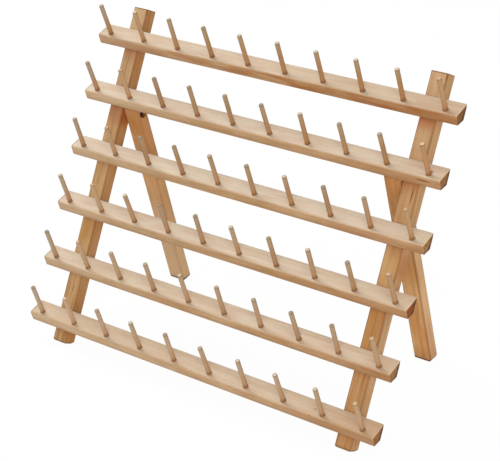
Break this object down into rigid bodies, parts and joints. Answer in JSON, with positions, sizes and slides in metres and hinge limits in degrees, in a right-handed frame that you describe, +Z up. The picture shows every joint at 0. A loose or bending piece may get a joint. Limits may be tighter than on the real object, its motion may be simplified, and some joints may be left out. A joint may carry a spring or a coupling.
{
  "type": "wall thread rack",
  "caption": "Wooden thread rack: bevelled rails of slanted spool pegs on two leaning uprights, with fold-out back legs to stand on a table or fold flat to hang on a wall.",
  "frame": {"origin": "on the table, under the middle of the standing rack's box", "axes": "+X along the rails to the right as seen from the front, +Y towards the back legs, +Z up"},
  "size_m": [0.3678, 0.1732, 0.2729],
  "materials": {
    "rail_wood": "satin clear-coated beech",
    "upright_wood": "satin clear-coated beech",
    "leg_wood": "satin clear-coated beech",
    "peg_wood": "satin clear-coated birch dowel",
    "dark_steel": "blackened steel",
    "bright_steel": "zinc-plated steel"
  },
  "bodies": {
    "rack": {"left_upright": "upright_wood", "right_upright": "upright_wood", "rail_1": "rail_wood", "rail_2": "rail_wood", "rail_3": "rail_wood", "rail_4": "rail_wood", "rail_5": "rail_wood", "rail_6": "rail_wood", "pegs_rail_1": "peg_wood", "pegs_rail_2": "peg_wood", "pegs_rail_3": "peg_wood", "pegs_rail_4": "peg_wood", "pegs_rail_5": "peg_wood", "pegs_rail_6": "peg_wood", "left_pivot_screw": "dark_steel", "right_pivot_screw": "dark_steel", "left_pivot_washer": "bright_steel", "right_pivot_washer": "bright_steel", "left_rail_screws": "bright_steel", "right_rail_screws": "bright_steel"},
    "left_leg": {"left_back_leg": "leg_wood"},
    "right_leg": {"right_back_leg": "leg_wood"}
  },
  "joints": [
    {"name": "left_leg_fold", "type": "hinge", "parent": "rack", "child": "left_leg", "pos_m": [-0.13615, 0.03592, 0.18316], "axis": [-1, 0, 0], "range_deg": [0, 41]},
    {"name": "right_leg_fold", "type": "hinge", "parent": "rack", "child": "right_leg", "pos_m": [0.13615, 0.03592, 0.18316], "axis": [-1, 0, 0], "range_deg": [0, 41]}
  ]
}
